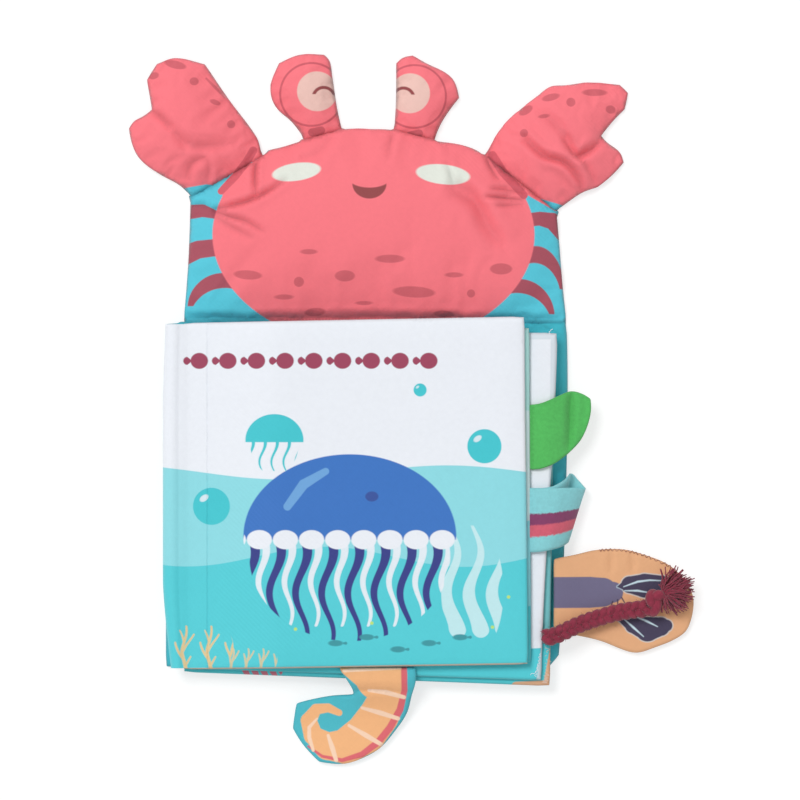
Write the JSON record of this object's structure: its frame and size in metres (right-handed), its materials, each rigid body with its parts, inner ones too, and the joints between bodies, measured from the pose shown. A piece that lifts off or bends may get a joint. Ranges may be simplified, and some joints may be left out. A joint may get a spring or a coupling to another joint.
{
  "type": "baby activity book",
  "caption": "Soft cloth activity book with a padded cover, three crinkle pages, a stuffed crab head flap, a leaf, a loop, two tails and a knotted rope.",
  "frame": {"origin": "on the back cover's flat rear face, on the middle line of the crab head, 99.9 mm from the spine axis", "axes": "+X towards the fore edge, +Y towards the crab head, +Z out of the front cover"},
  "size_m": [0.2835, 0.3531, 0.023],
  "materials": {
    "teal_cloth": "matte woven polyester",
    "page_binding": "matte woven binding",
    "cover_print": "printed satin-faced polyester",
    "peach_cloth": "matte woven polyester",
    "white_cloth": "printed polyester",
    "mint_cloth": "printed polyester",
    "crab_print": "printed polyester",
    "coral_cloth": "matte woven polyester",
    "spiral_print": "printed polyester",
    "orange_cloth": "matte woven polyester",
    "fan_print": "printed polyester",
    "green_fleece": "brushed fleece",
    "striped_fleece": "printed brushed fleece",
    "maroon_braid": "braided cotton",
    "wadding": "polyester wadding",
    "crinkle_film": "crinkle film"
  },
  "bodies": {
    "root": {"back_cover_rear_panel": "teal_cloth", "back_cover_padding": "wadding", "back_cover_front_panel": "teal_cloth", "spine_binding": "page_binding"},
    "page_3": {"page_3_rear_panel": "peach_cloth", "page_3_crinkle_sheet": "crinkle_film", "page_3_front_panel": "peach_cloth"},
    "page_2": {"page_2_rear_panel": "white_cloth", "page_2_crinkle_sheet": "crinkle_film", "page_2_front_panel": "white_cloth"},
    "page_1": {"page_1_rear_panel": "mint_cloth", "page_1_crinkle_sheet": "crinkle_film", "page_1_front_panel": "mint_cloth"},
    "front_cover": {"front_cover_inner_panel": "white_cloth", "front_cover_padding": "wadding", "front_cover_outer_panel": "cover_print", "spine_wrap": "cover_print"},
    "head": {"head_rear_panel": "coral_cloth", "head_stuffing": "wadding", "head_front_panel": "crab_print"},
    "left_claw": {"left_claw_rear_panel": "coral_cloth", "left_claw_stuffing": "wadding", "left_claw_front_panel": "crab_print"},
    "right_claw": {"right_claw_rear_panel": "coral_cloth", "right_claw_stuffing": "wadding", "right_claw_front_panel": "crab_print"},
    "left_eye": {"left_eye_rear_panel": "coral_cloth", "left_eye_stuffing": "wadding", "left_eye_front_panel": "crab_print"},
    "right_eye": {"right_eye_rear_panel": "coral_cloth", "right_eye_stuffing": "wadding", "right_eye_front_panel": "crab_print"},
    "leaf": {"leaf_front_layer": "green_fleece", "leaf_rear_layer": "green_fleece"},
    "loop": {"striped_loop": "striped_fleece"},
    "spiral_tail": {"spiral_tail_rear_panel": "teal_cloth", "spiral_tail_padding": "wadding", "spiral_tail_front_panel": "spiral_print"},
    "fan_tail": {"fan_tail_rear_panel": "orange_cloth", "fan_tail_padding": "wadding", "fan_tail_front_panel": "fan_print"},
    "rope": {"rope": "maroon_braid", "rope_knot": "maroon_braid", "rope_tassel": "maroon_braid"}
  },
  "joints": [
    {"name": "page_3_turn", "type": "hinge", "parent": "root", "child": "page_3", "pos_m": [-0.0999, 0, 0.012], "axis": [0, -1, 0], "range_deg": [0, 180]},
    {"name": "page_2_turn", "type": "hinge", "parent": "page_3", "child": "page_2", "pos_m": [-0.0999, 0, 0.012], "axis": [0, -1, 0], "range_deg": [0, 180]},
    {"name": "page_1_turn", "type": "hinge", "parent": "page_2", "child": "page_1", "pos_m": [-0.0999, 0, 0.012], "axis": [0, -1, 0], "range_deg": [0, 180]},
    {"name": "front_cover_turn", "type": "hinge", "parent": "page_1", "child": "front_cover", "pos_m": [-0.0999, 0, 0.012], "axis": [0, -1, 0], "range_deg": [0, 180]},
    {"name": "head_fold", "type": "hinge", "parent": "root", "child": "head", "pos_m": [0, 0.0868, 0], "axis": [1, 0, 0], "range_deg": [-175, 45]},
    {"name": "left_claw_fold", "type": "hinge", "parent": "head", "child": "left_claw", "pos_m": [-0.07409, 0.1597, 0.00055], "axis": [-0.8749, -0.4842, 0], "range_deg": [-70, 60]},
    {"name": "right_claw_fold", "type": "hinge", "parent": "head", "child": "right_claw", "pos_m": [0.07263, 0.15621, 0.00055], "axis": [-0.7913, 0.6114, 0], "range_deg": [-70, 60]},
    {"name": "left_eye_fold", "type": "hinge", "parent": "head", "child": "left_eye", "pos_m": [-0.02592, 0.1806, 0.00055], "axis": [-0.9617, -0.2741, 0], "range_deg": [-70, 60]},
    {"name": "right_eye_fold", "type": "hinge", "parent": "head", "child": "right_eye", "pos_m": [0.01944, 0.18022, 0.00055], "axis": [-0.967, 0.2546, 0], "range_deg": [-70, 60]},
    {"name": "leaf_lift", "type": "hinge", "parent": "page_1", "child": "leaf", "pos_m": [0.07735, 0, 0.01785], "axis": [0, -1, 0], "range_deg": [0, 85]},
    {"name": "loop_lift", "type": "hinge", "parent": "page_1", "child": "loop", "pos_m": [0.0774, 0, 0.01785], "axis": [0, -1, 0], "range_deg": [0, 80]},
    {"name": "spiral_tail_lift", "type": "hinge", "parent": "page_1", "child": "spiral_tail", "pos_m": [0, -0.0836, 0.01785], "axis": [-1, 0, 0], "range_deg": [0, 60]},
    {"name": "fan_tail_lift", "type": "hinge", "parent": "page_3", "child": "fan_tail", "pos_m": [0.088, 0, 0.01075], "axis": [0, -1, 0], "range_deg": [0, 60]},
    {"name": "rope_lift", "type": "hinge", "parent": "page_2", "child": "rope", "pos_m": [0.0838, 0, 0.0149], "axis": [0, -1, 0], "range_deg": [0, 60]}
  ],
  "couplings": [
    {"joint": "rope_lift", "follows": "fan_tail_lift", "ratio": 1}
  ]
}
